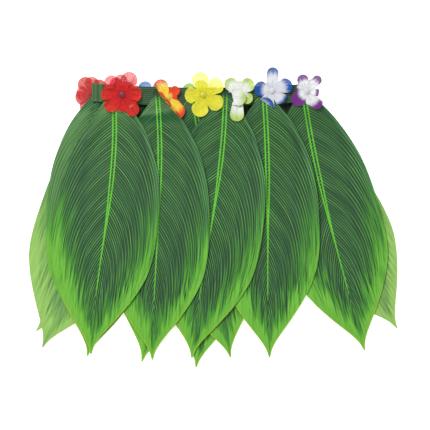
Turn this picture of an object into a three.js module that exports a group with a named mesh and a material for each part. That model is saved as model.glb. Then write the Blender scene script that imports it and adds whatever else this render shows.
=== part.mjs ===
import * as THREE from "three";

// Leaf hula skirt laid flat with its front up: the waist towards +Y, the leaf tips towards -Y, the floor
// at z = 0. Printed fabric leaves are sewn by their bases to a loop of elastic, and a sheer five-petal
// flower is fixed by a stud over each base. Sizes are in millimetres and angles in degrees.

// Waistband: a loop of woven elastic, pressed flat into a back run and a front run
const bandHalfLength = 154;
const bandWidth = 25;
const bandThickness = 1.5;
const bandGap = 1.2;            // between the two runs, inside the loop
const bandSag = 6;              // how far the middle lies below the two folded ends
const bandEndRise = 2;          // height of those ends above y = 0
const bandSpans = 14;           // along each run
const bandFoldSpans = 4;        // round each folded end

// Walls, and the gap between pieces that touch
const leafThickness = 1.2;
const petalThickness = 1;
const clearance = 0.3;

// The cut of every leaf: half its width at stations along its length, from the sewn base to the tip
const leafCut = table(["along", "half"], [
  [0.0, 3.5], [0.03, 8], [0.065, 17], [0.1, 27.5], [0.13, 35.5], [0.165, 43], [0.22, 52.5], [0.3, 63],
  [0.4, 69.5], [0.5, 72], [0.6, 72], [0.69, 66.5], [0.776, 52.5], [0.862, 32], [0.905, 20], [0.94, 10.5],
  [0.97, 4.2], [1.0, 0.8],
]);
const frontLeafSpans = 6;       // across a leaf
const backLeafSpans = 4;

// How each leaf lies: its base on the band, its length, the swing of its tip (+ towards +X), and how far
// its midrib bows aside at 30% of its length and sways at 65%. Rows run from the floor up.
const bowAt = 0.3;
const swayAt = 0.65;
const leafColumns = ["name", "x", "y", "length", "swing", "bow", "sway"];
const backLeaves = table(leafColumns, [
  ["leaf_back_5", 58, -4, 363, 5.3, 0, 0],
  ["leaf_back_2", -73, -4, 376, -25.1, 23.9, 25.8],
  ["leaf_back_4", -1, -4, 392, -1.1, 0, 6],
  ["leaf_back_1", -116, -4, 379, -16.5, 11, 11.5],
  ["leaf_back_6", 105, 0, 380, 26.3, -17, -12],
  ["leaf_back_3", -42, -4, 386, -6.3, 0, 6.8],
]);
// The under-leaf at the left fold is sewn behind the front run and turned face up
const turnedLeaves = table(leafColumns, [
  ["leaf_under_1", -143.5, -1, 379, -2.6, 2, 8.5],
]);
const frontLeaves = table(leafColumns, [
  ["leaf_under_2", -14.4, -4, 381.5, 8.2, 0, -4.5],
  ["leaf_front_5", 140, 1, 383, 13.3, -6, -5.2],
  ["leaf_front_4", 85.4, -3, 379, 1.4, 3.5, 0.7],
  ["leaf_front_3", 32.2, -4.2, 381.2, -7, 6.8, 2],
  ["leaf_front_2", -63, -6, 379, -1, 6, 2.8],
  ["leaf_front_1", -124.9, -2, 376, -4.7, 9.5, 3.2],
]);

// Flowers, one list of petals for each layer of fabric from the lowest up: a petal's direction from +X,
// its reach from the flower's middle, its half width, and how far its tip turns up
const petalColumns = ["angle", "reach", "half", "lift"];
const frontFlowers = [
  flower("flower_red", -111.6, -14, [
    [[64, 34.5, 11.5, 8], [131, 32.5, 10.5, 8], [199, 24, 10, 4], [270, 24, 11, 6], [342, 24, 10, 4]],
    [[2, 27.5, 12, 14], [93, 29, 8.5, 32], [178, 29.5, 12, 14], [223, 31, 10.5, 8], [305, 35, 9.5, 10]],
  ]),
  flower("flower_orange", -47.6, -18.5, [
    [[45, 21, 7, 20], [122, 29, 10.5, 24], [192, 15.5, 8.5, 84], [243, 15.5, 8.5, 84], [304, 33.5, 10.5, 14]],
  ]),
  flower("flower_yellow", 1.8, -14.8, [
    [[37, 32.8, 12, 10], [101, 32.8, 12, 10], [180, 26, 12, 12], [257, 30.8, 12, 8], [329, 30.8, 12, 8]],
  ]),
  flower("flower_lime", 51.8, -13, [
    [[46, 27, 10, 16], [130, 27, 9.5, 16], [205, 15.5, 8.5, 84], [264, 38.5, 9.8, 6], [332, 21, 8, 20]],
  ]),
  flower("flower_blue", 98, -8.6, [
    [[20, 29.5, 11, 16], [88, 33, 8.2, 12], [170, 25.6, 10.5, 18], [247, 25.5, 12, 14], [317, 23, 10, 20]],
  ]),
  flower("flower_purple", 146.6, -9.5, [
    [[48, 28, 6.6, 20], [110, 25, 8, 18], [221, 26.5, 10, 12], [309, 29.5, 8.5, 12], [352, 19, 6.5, 62]],
  ]),
];
const backFlowers = [
  flower("flower_fold", -152.6, -14, [
    [[54, 25, 11, 0], [126, 29.5, 11, 0], [190, 25.5, 12, 0], [268, 25, 11, 0], [340, 25, 11, 0]],
    [[25, 24, 10, 0], [97, 26, 10.5, 0], [169, 24, 11, 0], [241, 28, 10.5, 0], [313, 24, 10, 0]],
  ]),
  flower("flower_back_magenta", -116.2, -12, [evenPetals(35)]),
  flower("flower_back_blue", -74.2, -16.8, [evenPetals(112)]),
  flower("flower_back_lime", -7, -15.4, [evenPetals(140)]),
  flower("flower_back_white", 51.8, -17, [evenPetals(90)]),
  flower("flower_back_purple", 98, -17, [evenPetals(90)]),
];
const holeRadius = 1.6;         // in the flower's middle, for the stud's pin
const notchShare = 0.5;         // radius of the notch between two petals, as a share of their reach
const notchRoom = 4;            // least angle between a petal's side and the middle of the notch
const lobeShare = 0.96;         // share of a lobe's widest angle that its outline steps over
const flatShare = 0.3;          // share of a petal's reach that stays flat round the middle
const petalRings = [0, 0.36, 0.7, 1];
const frontPetalSteps = 5;      // over each lobe
const backPetalSteps = 4;
const leastLift = 1e-4;         // radians: a flat petal is bent on a very large circle

// Studs: a crown with a flat top, on a pin
const stud = { pin: 0.9, radius: 4, height: 2.4, flatTop: 1.8, shoulder: 3.4, shoulderHeight: 1.3, sides: 8 };

// The pile: the height of what already lies on the floor, cell by cell, as pieces are laid one on another
const pile = { cell: 2, left: -320, low: -440, columns: 330, rows: 250 };
pile.heights = new Float32Array(pile.columns * pile.rows);
const samplesPerCell = 1 / 0.6;
const leafEasing = 3;           // rounds in which a laid sheet eases over a step
const petalEasing = 2;

const finishes = {
  elastic: { color: 0x35533a, roughness: 0.9 },
  frontLeaf: { color: 0x3f6b3c, roughness: 0.75 },
  backLeaf: { color: 0x8fb86c, roughness: 0.8 },
  stud: { color: 0x9aa08f, roughness: 0.4 },
  petal: { roughness: 0.6 },
};
const petalColours = {
  flower_red: 0xd8322f, flower_fold: 0xe4473f, flower_orange: 0xf2802a, flower_yellow: 0xeee53a,
  flower_lime: 0xdcebc0, flower_blue: 0xc9d6ee, flower_purple: 0xc9a3d6,
  flower_back_magenta: 0xd8408f, flower_back_blue: 0x6f95dc, flower_back_lime: 0xb4d85a,
  flower_back_white: 0xe8ece6, flower_back_purple: 0xb083c4,
};

const radians = THREE.MathUtils.degToRad;
const skirt = new THREE.Group();

// Rows of values become objects with named columns
function table(columns, rows) {
  return rows.map((row) => Object.fromEntries(columns.map((name, i) => [name, row[i]])));
}

function flower(name, x, y, layers) {
  return { name, x, y, layers: layers.map((rows) => table(petalColumns, rows)) };
}

// Five like petals, pressed flat, one of them in the given direction
function evenPetals(first) {
  const [count, reach, half, lift] = [5, 23.5, 9.5, 0];
  return Array.from({ length: count }, (_, i) => [(first + i * 360 / count) % 360, reach, half, lift])
    .sort((a, b) => a[0] - b[0]);
}

function addMesh(name, geometry, finish) {
  const mesh = new THREE.Mesh(geometry, new THREE.MeshStandardMaterial({ ...finish, metalness: 0 }));
  mesh.name = name;
  skirt.add(mesh);
}

// Closed wall between two layers of points, rows by columns; closed joins the last column to the first
function wall(over, under, closed) {
  const rows = over.length;
  const columns = over[0].length;
  const spans = closed ? columns : columns - 1;
  const at = (layer, r, c) => (layer * rows + r) * columns + (c % columns);
  const faces = [];
  const quad = (a, b, c, d) => faces.push(a, b, c, a, c, d);
  for (let c = 0; c < spans; c++) {
    for (let r = 0; r < rows - 1; r++) {
      quad(at(0, r, c), at(0, r + 1, c), at(0, r + 1, c + 1), at(0, r, c + 1));
      quad(at(1, r, c), at(1, r, c + 1), at(1, r + 1, c + 1), at(1, r + 1, c));
    }
    quad(at(0, 0, c), at(0, 0, c + 1), at(1, 0, c + 1), at(1, 0, c));
    const last = rows - 1;
    quad(at(0, last, c + 1), at(0, last, c), at(1, last, c), at(1, last, c + 1));
  }
  for (let r = 0; !closed && r < rows - 1; r++) {
    const last = columns - 1;
    quad(at(0, r + 1, 0), at(0, r, 0), at(1, r, 0), at(1, r + 1, 0));
    quad(at(0, r, last), at(0, r + 1, last), at(1, r + 1, last), at(1, r, last));
  }
  const points = [...over.flat(), ...under.flat()];
  const geometry = new THREE.BufferGeometry().setFromPoints(points);
  geometry.setIndex(volume(points, faces) > 0 ? faces : faces.reverse());
  geometry.computeVertexNormals();
  return geometry;
}

// Volume inside closed faces: positive when they face out
function volume(points, faces) {
  let sum = 0;
  for (let i = 0; i < faces.length; i += 3) {
    const [a, b, c] = [0, 1, 2].map((k) => points[faces[i + k]]);
    sum += a.dot(new THREE.Vector3().crossVectors(b, c)) / 6;
  }
  return sum;
}

function pileCell(x, y) {
  const column = Math.floor((x - pile.left) / pile.cell);
  const row = Math.floor((y - pile.low) / pile.cell);
  return row * pile.columns + column;
}

// The highest of the cell at a place and the eight round it
function pileTop(x, y) {
  let top = 0;
  for (const dx of [-pile.cell, 0, pile.cell]) {
    for (const dy of [-pile.cell, 0, pile.cell]) {
      top = Math.max(top, pile.heights[pileCell(x + dx, y + dy)]);
    }
  }
  return top;
}

// Visits closely spaced points on the two triangles of each quad of a sheet
function overSheet(points, closed, visit) {
  const columns = points[0].length;
  const spans = closed ? columns : columns - 1;
  const place = new THREE.Vector3();
  for (let r = 0; r < points.length - 1; r++) {
    for (let c = 0; c < spans; c++) {
      const next = (c + 1) % columns;
      const [a, b, d, e] = [points[r][c], points[r + 1][c], points[r + 1][next], points[r][next]];
      const longest = Math.max(a.distanceTo(b), b.distanceTo(d), d.distanceTo(e), e.distanceTo(a));
      const steps = Math.ceil(samplesPerCell * longest / pile.cell);
      for (let i = 0; i <= steps; i++) {
        for (let j = 0; j <= steps; j++) {
          const [u, v] = [i / steps, j / steps];
          const [side, weight] = u > v ? [b, u - v] : [e, v - u];
          place.copy(a).multiplyScalar(1 - Math.max(u, v));
          place.addScaledVector(side, weight).addScaledVector(d, Math.min(u, v));
          visit(place, r, c, next);
        }
      }
    }
  }
}

function stamp(points, closed) {
  overSheet(points, closed, (p) => {
    const cell = pileCell(p.x, p.y);
    pile.heights[cell] = Math.max(pile.heights[cell], p.z);
  });
}

function stampDisc(x, y, radius, top) {
  const sides = 12;
  const ring = (r) => Array.from({ length: sides }, (_, i) => {
    const angle = 2 * Math.PI * i / sides;
    return new THREE.Vector3(x + r * Math.cos(angle), y + r * Math.sin(angle), top);
  });
  stamp([ring(0), ring(radius)], true);
}

// Lays a sheet on the pile: each point's z becomes that of the sheet's upper face, clear of the pile over
// every quad that the point belongs to, and eased over a few rounds as cloth bridges a step
function layDown(points, closed, thickness, easing) {
  const least = points.map((row) => row.map(() => 0));
  overSheet(points, closed, (p, r, c, next) => {
    const top = pileTop(p.x, p.y);
    for (const [i, j] of [[r, c], [r + 1, c], [r + 1, next], [r, next]]) {
      least[i][j] = Math.max(least[i][j], top);
    }
  });
  const seat = (top) => (top > 0 ? top + clearance : 0) + thickness;
  points.forEach((row, r) => row.forEach((p, c) => { p.z = seat(least[r][c]); }));
  const columns = points[0].length;
  for (let round = 0; round < easing; round++) {
    const before = points.map((row) => row.map((p) => p.z));
    points.forEach((row, r) => row.forEach((p, c) => {
      const beside = (step) => (closed ? (c + step + columns) % columns : c + step);
      const near = [before[r - 1]?.[c], before[r + 1]?.[c], before[r][beside(-1)], before[r][beside(1)]];
      const held = near.filter((z) => z !== undefined);
      const mean = held.reduce((sum, z) => sum + z, 0) / held.length;
      p.z = Math.max(seat(least[r][c]), (before[r][c] + mean) / 2);
    }));
  }
  stamp(points, closed);
}

function lowered(points, drop) {
  return points.map((row) => row.map((p) => new THREE.Vector3(p.x, p.y, p.z - drop)));
}

// A leaf's points in plan: sections square to its midrib, from base to tip
function leafPoints(leaf, spans) {
  const swing = radians(leaf.swing);
  const down = new THREE.Vector2(Math.sin(swing), -Math.cos(swing));
  const aside = new THREE.Vector2(Math.cos(swing), Math.sin(swing));
  // The midrib's offset is s (1 - s) (p + q s), which is zero at both ends
  const atBow = leaf.bow / (bowAt * (1 - bowAt));
  const atSway = leaf.sway / (swayAt * (1 - swayAt));
  const q = (atSway - atBow) / (swayAt - bowAt);
  const p = atBow - bowAt * q;
  const midrib = (s) => new THREE.Vector2(leaf.x, leaf.y)
    .addScaledVector(down, s * leaf.length)
    .addScaledVector(aside, s * (1 - s) * (p + q * s));
  const step = 0.01;
  return leafCut.map(({ along, half }) => {
    const centre = midrib(along);
    const run = midrib(along + step).sub(midrib(along - step)).normalize();
    return Array.from({ length: spans + 1 }, (_, i) => {
      const offset = half * (2 * i / spans - 1);
      return new THREE.Vector3(centre.x - offset * run.y, centre.y + offset * run.x, 0);
    });
  });
}

function addLeaf(leaf, spans, finish) {
  const points = leafPoints(leaf, spans);
  layDown(points, false, leafThickness, leafEasing);
  addMesh(leaf.name, wall(points, lowered(points, leafThickness), false), finish);
}

// The outline of a petal in polar form about the flower's middle: a round lobe on straight sides
function petalRadius(petal, phi) {
  const lobe = petal.reach - petal.half;
  const across = lobe * Math.sin(phi);
  return lobe * Math.cos(phi) + Math.sqrt(Math.max(petal.half ** 2 - across ** 2, 0));
}

// A flower's rays, petal by petal: the notch before it, then steps over its lobe. A ray lies at turn from
// its petal's own direction, base.
function petalRays(petals, steps) {
  const rays = [];
  petals.forEach((petal, k) => {
    const before = petals[(k + petals.length - 1) % petals.length];
    const after = petals[(k + 1) % petals.length];
    const gapBefore = (petal.angle - before.angle + 360) % 360;
    const gapAfter = (after.angle - petal.angle + 360) % 360;
    const notch = notchShare * Math.min(petal.reach, before.reach);
    const lift = (petal.lift + before.lift) / 2;
    rays.push({ base: petal.angle - gapBefore / 2, turn: 0, radius: notch, reach: petal.reach, lift });
    const widest = THREE.MathUtils.radToDeg(Math.asin(Math.min(petal.half / (petal.reach - petal.half), 1)));
    const spread = Math.min(lobeShare * widest, Math.min(gapBefore, gapAfter) / 2 - notchRoom);
    for (let i = 0; i < steps; i++) {
      const turn = spread * (2 * i / (steps - 1) - 1);
      const radius = petalRadius(petal, radians(turn));
      rays.push({ base: petal.angle, turn, radius, reach: petal.reach, lift: petal.lift });
    }
  });
  return rays;
}

// A flower's points about its own middle, each petal turned up along an arc of its own length
function flowerPoints(petals, steps) {
  const rays = petalRays(petals, steps);
  return petalRings.map((share) => rays.map((ray) => {
    const radius = holeRadius + share * (ray.radius - holeRadius);
    const [base, turn] = [radians(ray.base), radians(ray.turn)];
    const flat = flatShare * ray.reach;
    const bend = Math.max(radians(ray.lift), leastLift) / (ray.reach - flat);
    const past = Math.max(radius * Math.cos(turn) - flat, 0);
    const along = Math.min(radius * Math.cos(turn), flat) + Math.sin(bend * past) / bend;
    const aside = radius * Math.sin(turn);
    const x = along * Math.cos(base) - aside * Math.sin(base);
    const y = along * Math.sin(base) + aside * Math.cos(base);
    return new THREE.Vector3(x, y, (1 - Math.cos(bend * past)) / bend);
  }));
}

// A closed sheet's points moved along its normals
function offsetSheet(points, distance) {
  const columns = points[0].length;
  return points.map((row, r) => row.map((p, c) => {
    const inner = points[Math.max(r - 1, 0)][c];
    const outer = points[Math.min(r + 1, points.length - 1)][c];
    const along = new THREE.Vector3().subVectors(outer, inner);
    const round = new THREE.Vector3().subVectors(row[(c + 1) % columns], row[(c + columns - 1) % columns]);
    return p.clone().addScaledVector(along.cross(round).normalize(), distance);
  }));
}

// A flower's stud, its pin through every layer; side is 1 with the crown up and -1 with it down
function addStud({ name, x, y, layers }, side, seat) {
  const pinLength = layers.length * (petalThickness + clearance);
  const profile = [
    [0, -pinLength], [stud.pin, -pinLength], [stud.pin, 0], [stud.radius, 0],
    [stud.shoulder, stud.shoulderHeight], [stud.flatTop, stud.height], [0, stud.height],
  ].map(([r, z]) => new THREE.Vector2(r, side * z));
  const geometry = new THREE.LatheGeometry(side > 0 ? profile : profile.reverse(), stud.sides);
  geometry.rotateX(Math.PI / 2).translate(x, y, seat);
  addMesh(`${name}_stud`, geometry, finishes.stud);
}

function layerName({ name, layers }, i) {
  return layers.length > 1 ? `${name}_layer_${i + 1}` : name;
}

// Back flowers lie face down: the stud's crown on the floor, the petals pressed flat over it
function addBackFlower(blossom) {
  const { name, x, y, layers } = blossom;
  const finish = { ...finishes.petal, color: petalColours[name] };
  addStud(blossom, -1, stud.height);
  stampDisc(x, y, stud.radius, stud.height);
  layers.forEach((petals, i) => {
    const points = flowerPoints(petals, backPetalSteps);
    points.flat().forEach((p) => p.set(p.x + x, p.y + y, 0));
    layDown(points, true, petalThickness, petalEasing);
    addMesh(layerName(blossom, i), wall(points, lowered(points, petalThickness), true), finish);
  });
  stampDisc(x, y, holeRadius, stud.height + layers.length * (petalThickness + clearance));
}

// Front flowers keep their shape: the lowest layer rests level on the highest thing under it
function addFrontFlower(blossom) {
  const { name, x, y, layers } = blossom;
  const finish = { ...finishes.petal, color: petalColours[name] };
  const half = petalThickness / 2;
  let seat = 0;
  layers.forEach((petals, i) => {
    const points = flowerPoints(petals, frontPetalSteps);
    points.flat().forEach((p) => p.set(p.x + x, p.y + y, p.z));
    overSheet(points, true, (p) => { seat = Math.max(seat, pileTop(p.x, p.y)); });
    points.flat().forEach((p) => { p.z += seat + clearance + half; });
    addMesh(layerName(blossom, i), wall(offsetSheet(points, half), offsetSheet(points, -half), true), finish);
    seat += clearance + petalThickness;
  });
  addStud(blossom, 1, seat + clearance);
}

// The band's top edge, lowest in the middle
function bandTop(x) {
  return bandEndRise - bandSag * (1 - (x / bandHalfLength) ** 2);
}

// Stations round the loop in the XZ plane: the back run, a fold, the front run, a fold
function bandLoop(low) {
  const radius = (bandThickness + bandGap) / 2;
  const middle = low + bandThickness / 2 + radius;
  const straight = bandHalfLength - radius - bandThickness / 2;
  const run = (side) => Array.from({ length: bandSpans + 1 }, (_, i) => {
    const x = side * straight * (2 * i / bandSpans - 1);
    return { x, z: middle - side * radius, outX: 0, outZ: -side };
  });
  const fold = (side) => Array.from({ length: bandFoldSpans - 1 }, (_, i) => {
    const angle = Math.PI * ((i + 1) / bandFoldSpans - 0.5);
    const [outX, outZ] = [side * Math.cos(angle), side * Math.sin(angle)];
    return { x: side * straight + radius * outX, z: middle + radius * outZ, outX, outZ };
  });
  return [...run(1), ...fold(1), ...run(-1), ...fold(-1)];
}

function bandLayer(loop, distance) {
  return [0, -bandWidth].map((drop) => loop.map(({ x, z, outX, outZ }) =>
    new THREE.Vector3(x + distance * outX, bandTop(x) + drop, z + distance * outZ)));
}

// The band lies level on the highest thing under its back run
function addBand() {
  const half = bandThickness / 2;
  const spansOf = (layer, first) => layer.map((row) => row.slice(first, first + bandSpans + 1));
  const backRun = spansOf(bandLayer(bandLoop(0), half), 0);
  let seat = 0;
  overSheet(backRun, false, (p) => { seat = Math.max(seat, pileTop(p.x, p.y)); });
  const loop = bandLoop(seat + clearance);
  const outer = bandLayer(loop, half);
  addMesh("waistband", wall(outer, bandLayer(loop, -half), true), finishes.elastic);
  stamp(spansOf(outer, bandSpans + bandFoldSpans), false);
}

backFlowers.forEach(addBackFlower);
backLeaves.forEach((leaf) => addLeaf(leaf, backLeafSpans, finishes.backLeaf));
turnedLeaves.forEach((leaf) => addLeaf(leaf, frontLeafSpans, finishes.frontLeaf));
addBand();
frontLeaves.forEach((leaf) => addLeaf(leaf, frontLeafSpans, finishes.frontLeaf));
frontFlowers.forEach(addFrontFlower);

// The origin is the middle of the skirt's box, on the floor
const box = new THREE.Box3().setFromObject(skirt);
const centre = box.getCenter(new THREE.Vector3());
skirt.position.set(-centre.x, -centre.y, -box.min.z);
skirt.updateMatrixWorld(true);

export default skirt;
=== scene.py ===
import math

import bpy
import numpy as np
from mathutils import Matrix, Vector, noise
from mathutils.bvhtree import BVHTree


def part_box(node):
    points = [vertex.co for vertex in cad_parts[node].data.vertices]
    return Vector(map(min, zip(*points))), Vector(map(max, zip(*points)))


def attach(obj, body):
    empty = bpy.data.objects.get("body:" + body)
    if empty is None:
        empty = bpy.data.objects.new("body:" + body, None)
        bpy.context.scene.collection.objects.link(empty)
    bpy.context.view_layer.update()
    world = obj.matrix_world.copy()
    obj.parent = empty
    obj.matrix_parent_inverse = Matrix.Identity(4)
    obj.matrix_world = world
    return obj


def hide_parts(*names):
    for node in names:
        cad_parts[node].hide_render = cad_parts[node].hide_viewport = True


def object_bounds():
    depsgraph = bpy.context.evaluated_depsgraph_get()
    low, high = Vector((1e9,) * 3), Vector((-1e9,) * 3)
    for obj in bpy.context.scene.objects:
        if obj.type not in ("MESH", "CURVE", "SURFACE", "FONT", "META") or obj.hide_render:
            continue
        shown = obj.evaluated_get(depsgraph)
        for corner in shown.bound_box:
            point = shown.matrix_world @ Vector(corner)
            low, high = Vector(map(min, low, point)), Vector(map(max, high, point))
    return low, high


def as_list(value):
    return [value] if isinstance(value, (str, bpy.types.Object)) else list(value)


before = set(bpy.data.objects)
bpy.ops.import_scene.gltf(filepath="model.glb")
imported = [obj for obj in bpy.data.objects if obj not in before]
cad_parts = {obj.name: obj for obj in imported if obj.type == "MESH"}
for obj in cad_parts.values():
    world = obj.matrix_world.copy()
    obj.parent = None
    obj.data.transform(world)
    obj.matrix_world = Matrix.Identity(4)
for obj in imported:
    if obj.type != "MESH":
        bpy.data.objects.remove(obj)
cadLow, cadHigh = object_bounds()
mm = 0.001

# The tables' own origin: x at the band's middle, y level with the line its folded ends stand above
band = {
    "halfLength": 154, "width": 25, "thickness": 1.5, "gap": 1.2, "sag": 6, "endRise": 2,
    "ribPitch": 2.78, "ribDepth": 0.28, "edgeWave": 0.35, "selvage": 1.2, "selvageDrop": 0.35,
    "runSteps": 150, "foldSteps": 12, "acrossSteps": 45, "joinFrom": -137, "joinTo": -155,
}
bandLow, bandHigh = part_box("waistband")
originX = (bandLow.x + bandHigh.x) / 2
originY = bandHigh.y - band["endRise"] * mm


# small tools

def linear(hexCode):
    parts = [int(hexCode[i:i + 2], 16) / 255 for i in (1, 3, 5)]
    return (*[c / 12.92 if c <= 0.04045 else ((c + 0.055) / 1.055) ** 2.4 for c in parts], 1)


def table(columns, rows):
    return [dict(zip(columns, row)) for row in rows]


softRamp = {"interpolation_type": "SMOOTHSTEP"}


# A node with its settings, then its enabled sockets in order or by name, from values, sockets or nodes
def addNode(tree, kind, sockets=(), **settings):
    node = tree.nodes.new("ShaderNode" + kind)
    for key, value in settings.items():
        setattr(node, key, value)
    if isinstance(sockets, dict):
        pairs = [(node.inputs[key], value) for key, value in sockets.items()]
    else:
        pairs = list(zip([s for s in node.inputs if s.enabled], sockets))
    for socket, value in pairs:
        if isinstance(value, bpy.types.Node):
            value = next(s for s in value.outputs if s.enabled)
        if isinstance(value, bpy.types.NodeSocket):
            tree.links.new(value, socket)
        else:
            socket.default_value = value
    return node


def newTree(name):
    material = bpy.data.materials.new(name)
    material.use_nodes = True
    material.node_tree.nodes.clear()
    return material, material.node_tree


def smoothStep(value, low, high):
    t = np.clip((value - low) / (high - low), 0, 1)
    return t * t * (3 - 2 * t)


# A smooth line through a table of (place, value) rows
def smoothed(rows, places):
    xs, ys = np.array(rows, float).T
    slope = np.diff(ys) / np.diff(xs)
    tangent = np.concatenate([slope[:1], (slope[:-1] + slope[1:]) / 2, slope[-1:]])
    i = np.clip(np.searchsorted(xs, places) - 1, 0, len(xs) - 2)
    span = xs[i + 1] - xs[i]
    t = (places - xs[i]) / span
    return ((2 * t ** 3 - 3 * t ** 2 + 1) * ys[i] + (t ** 3 - 2 * t ** 2 + t) * span * tangent[i]
            + (3 * t ** 2 - 2 * t ** 3) * ys[i + 1] + (t ** 3 - t ** 2) * span * tangent[i + 1])


# A closed shell between two grids of points, rows x columns x 3, in metres. maps holds a grid of pairs for
# each UV map; shifts moves a map's first value face by face, where the grid's columns pass `after`.
def shell(name, over, under, materials, maps, closed=False, shifts=()):
    rows, columns = over.shape[:2]
    spans = columns if closed else columns - 1
    r, c = np.mgrid[0:rows - 1, 0:spans].reshape(2, -1)
    nextC = (c + 1) % columns
    grid = rows * columns
    upper = np.stack([r * columns + c, (r + 1) * columns + c, (r + 1) * columns + nextC,
                      r * columns + nextC], 1)
    lower = upper[:, ::-1] + grid
    c = np.arange(spans)
    nextC = (c + 1) % columns
    last = (rows - 1) * columns
    rims = [np.stack([c, nextC, nextC + grid, c + grid], 1),
            np.stack([last + nextC, last + c, last + c + grid, last + nextC + grid], 1)]
    if not closed:
        r = np.arange(rows - 1) * columns
        end = r + columns - 1
        rims += [np.stack([r + columns, r, r + grid, r + columns + grid], 1),
                 np.stack([end, end + columns, end + columns + grid, end + grid], 1)]
    faces = np.concatenate([upper, lower, *rims])
    points = np.concatenate([over.reshape(-1, 3), under.reshape(-1, 3)])
    a, b, d, e = (points[faces[:, k]] for k in range(4))
    if (np.einsum("ij,ij->i", a, np.cross(b, d)) + np.einsum("ij,ij->i", a, np.cross(d, e))).sum() < 0:
        faces = faces[:, ::-1]
    mesh = bpy.data.meshes.new(name)
    mesh.from_pydata(points.tolist(), [], faces.tolist())
    for material in materials:
        mesh.materials.append(material)
    slots = np.zeros(len(faces), int)
    slots[len(upper):2 * len(upper)] = len(materials) - 1
    mesh.polygons.foreach_set("material_index", slots)
    cells = faces.reshape(-1) % grid
    for key, values in maps.items():
        layer = mesh.uv_layers.new(name=key)
        corners = values.reshape(-1, 2)[cells].astype(np.float32)
        for shiftKey, after, shift in shifts:
            if shiftKey == key:
                past = (faces % grid % columns).mean(1) > after
                corners[:, 0] += np.repeat(past, 4) * shift
        layer.uv.foreach_set("vector", corners.ravel())
    return placed(name, mesh)


def placed(name, mesh, sharpFrom=50):
    mesh.polygons.foreach_set("use_smooth", [True] * len(mesh.polygons))
    mesh.set_sharp_from_angle(angle=math.radians(sharpFrom))
    mesh.update()
    piece = bpy.data.objects.new(name, mesh)
    bpy.context.scene.collection.objects.link(piece)
    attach(piece, "root")
    return piece


def pieceTree(piece):
    points = [v.co.copy() for v in piece.data.vertices]
    return BVHTree.FromPolygons(points, [tuple(p.vertices) for p in piece.data.polygons])


def solidTree(name):
    return pieceTree(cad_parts[name])


# the pile: what already lies on the floor, cell by cell, as pieces are laid one on another

# Rays that feel a surface start above or below everything, in metres
pile = {
    "cell": 2 * mm, "margin": 20 * mm, "gap": 0.15 * mm, "blend": 0.25 * mm, "above": 0.2, "below": -0.01,
}
pileLeft, pileBottom = cadLow.x - pile["margin"], cadLow.y - pile["margin"]
pileHeights = np.zeros((
    int((cadHigh.y - cadLow.y + 2 * pile["margin"]) / pile["cell"]) + 2,
    int((cadHigh.x - cadLow.x + 2 * pile["margin"]) / pile["cell"]) + 2,
))


def stampPile(tree, low, high):
    cell = pile["cell"]
    for row in range(int((low[1] - pileBottom) / cell), int((high[1] - pileBottom) / cell) + 2):
        for column in range(int((low[0] - pileLeft) / cell), int((high[0] - pileLeft) / cell) + 2):
            place = Vector((pileLeft + column * cell, pileBottom + row * cell, pile["above"]))
            hit = tree.ray_cast(place, Vector((0, 0, -1)))[0]
            if hit and hit.z > pileHeights[row, column]:
                pileHeights[row, column] = hit.z


def stampNode(name):
    low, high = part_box(name)
    stampPile(solidTree(name), low, high)


def stampPiece(piece):
    corners = np.array([v.co for v in piece.data.vertices])
    stampPile(pieceTree(piece), corners.min(0), corners.max(0))


# The pile's height under each place, spread by a cell and softened, so that cloth bridges small steps
def pileUnder(x, y):
    padded = np.pad(pileHeights, 1)
    rows, columns = pileHeights.shape
    near = [padded[i:i + rows, j:j + columns] for i in range(3) for j in range(3)]
    spread = np.pad(np.max(near, 0), 1, mode="edge")
    soft = np.mean([spread[i:i + rows, j:j + columns] for i in range(3) for j in range(3)], 0)
    u, v = (x - pileLeft) / pile["cell"], (y - pileBottom) / pile["cell"]
    i, j = v.astype(int), u.astype(int)
    fv, fu = v - i, u - j
    return ((soft[i, j] * (1 - fu) + soft[i, j + 1] * fu) * (1 - fv)
            + (soft[i + 1, j] * (1 - fu) + soft[i + 1, j + 1] * fu) * fv)


# The larger of two heights, with the corner between them rounded
def softMax(a, b, blend):
    return (a + b + np.sqrt((a - b) ** 2 + blend ** 2)) / 2


def eased(heights, rounds):
    for _ in range(rounds):
        wide = np.pad(heights, 1, mode="edge")
        heights = (heights + (wide[:-2, 1:-1] + wide[2:, 1:-1] + wide[1:-1, :-2] + wide[1:-1, 2:]) / 4) / 2
    return heights


# leaves

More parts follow.
